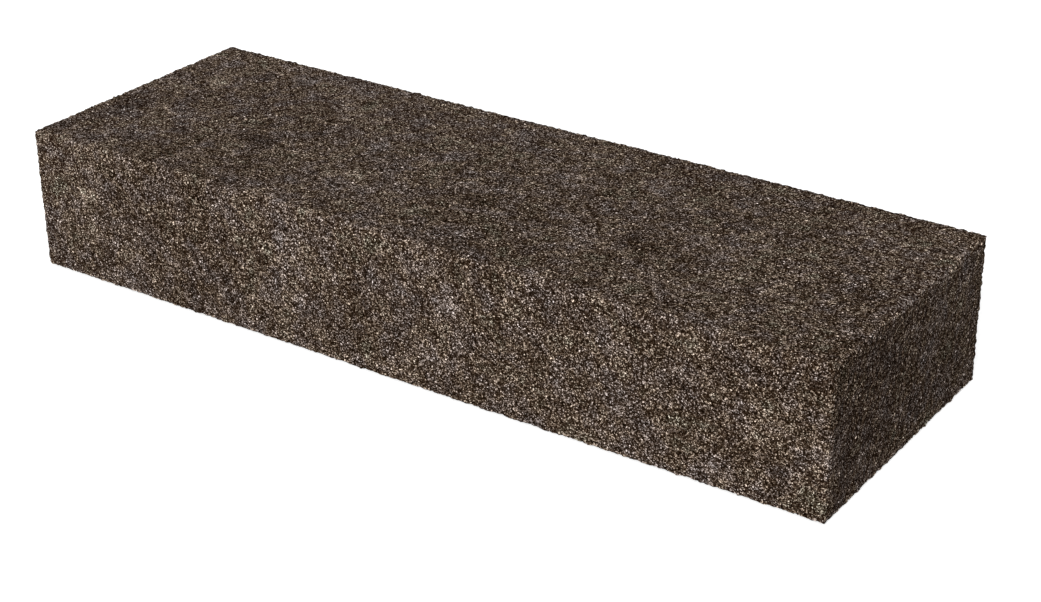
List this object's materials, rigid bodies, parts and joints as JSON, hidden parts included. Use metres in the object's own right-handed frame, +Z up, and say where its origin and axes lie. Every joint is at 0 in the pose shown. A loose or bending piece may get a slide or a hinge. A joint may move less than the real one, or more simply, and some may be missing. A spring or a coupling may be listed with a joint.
{
  "type": "sharpening whetstone",
  "caption": "Rectangular coarse bench whetstone in brown granular bonded abrasive, with flat honing faces and lightly eased arrises.",
  "frame": {"origin": "middle of the underside", "axes": "+X along the length, +Y across the width, +Z up, out of the upper honing face"},
  "size_m": [0.15, 0.05, 0.025],
  "materials": {
    "coarse_abrasive": "matte"
  },
  "bodies": {
    "root": {"abrasive_block": "coarse_abrasive"}
  },
  "joints": []
}
